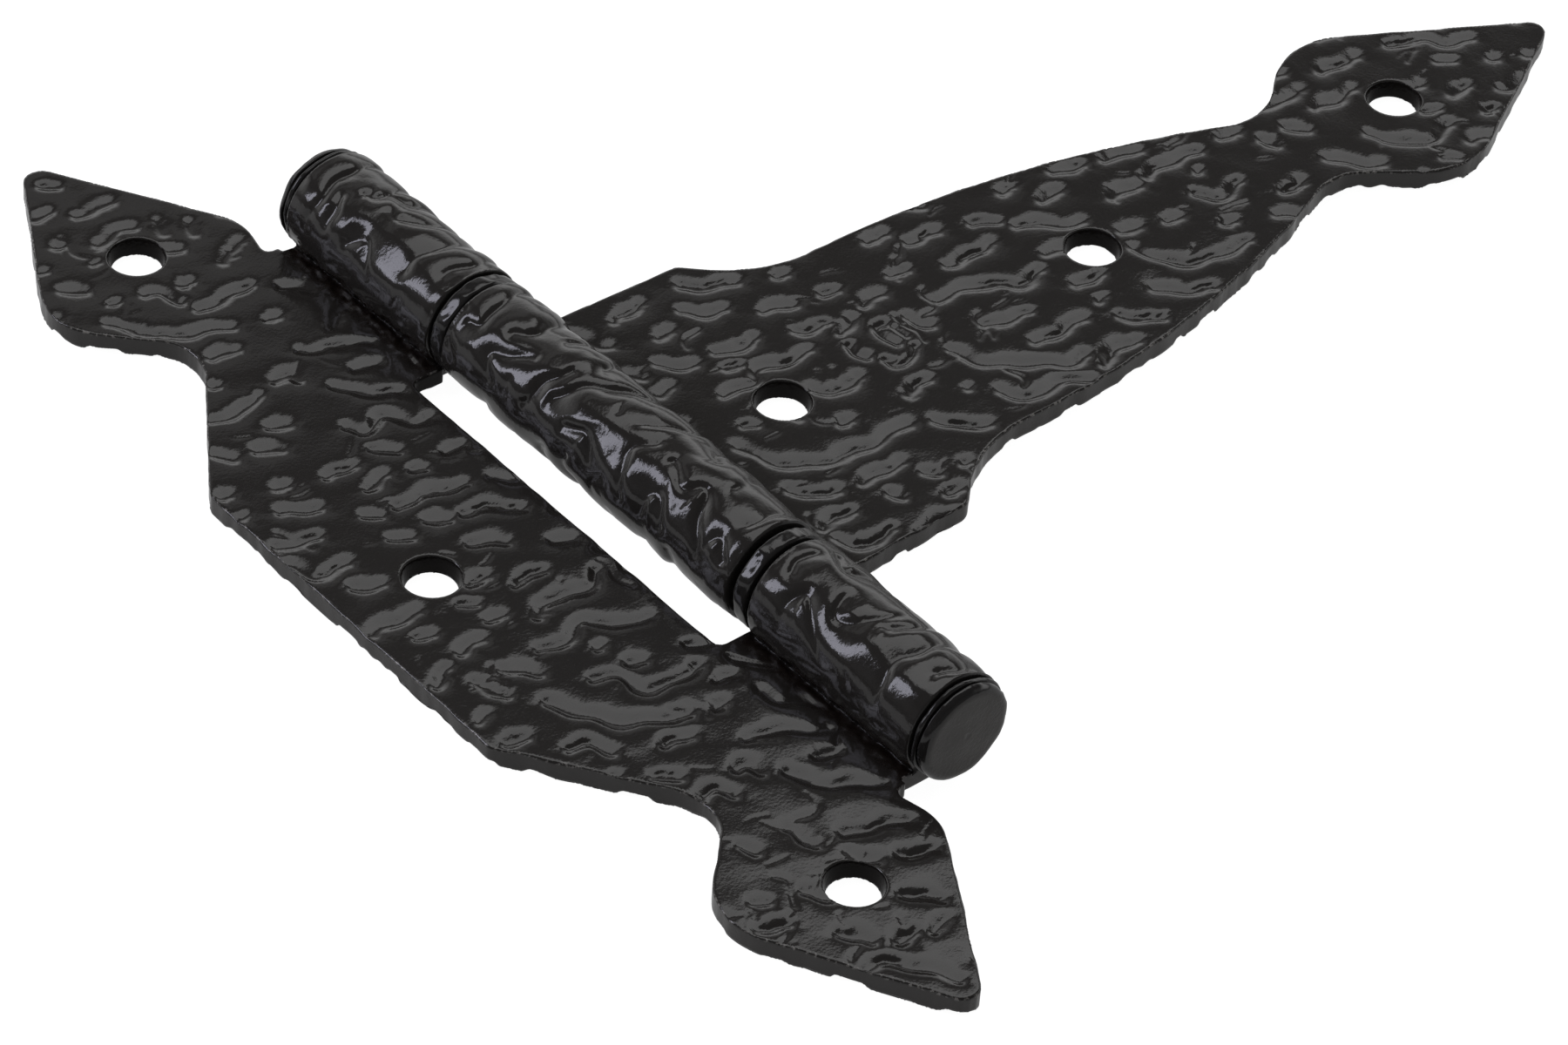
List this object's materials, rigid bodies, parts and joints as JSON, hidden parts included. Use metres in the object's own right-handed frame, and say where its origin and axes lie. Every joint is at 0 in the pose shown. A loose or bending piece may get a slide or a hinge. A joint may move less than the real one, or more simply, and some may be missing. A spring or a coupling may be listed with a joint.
{
  "type": "t hinge",
  "caption": "Black hammered T hinge: a long spear-tipped strap leaf and a spear-ended jamb leaf, each rolled round one headed pin.",
  "frame": {"origin": "on the plane of the leaves' backs, straight under the middle of the pin's length", "axes": "+X from the pin towards the strap's tip, +Y along the pin towards the hinge's upper end, +Z out of the leaves' hammered faces; the hinge lies open flat"},
  "size_m": [0.1933, 0.176, 0.0137],
  "materials": {
    "hammered_black": "hammered steel sheet under gloss black powder coat",
    "smooth_black": "plain turned steel under gloss black powder coat"
  },
  "bodies": {
    "jamb": {"jamb_leaf": "hammered_black", "hinge_pin": "smooth_black", "upper_washer": "smooth_black", "lower_washer": "smooth_black", "upper_end_washer": "smooth_black", "lower_end_washer": "smooth_black"},
    "strap": {"strap_leaf": "hammered_black"}
  },
  "joints": [
    {"name": "strap_swing", "type": "hinge", "parent": "jamb", "child": "strap", "pos_m": [0, 0, 0.00685], "axis": [0, -1, 0], "range_deg": [-105, 180]}
  ]
}
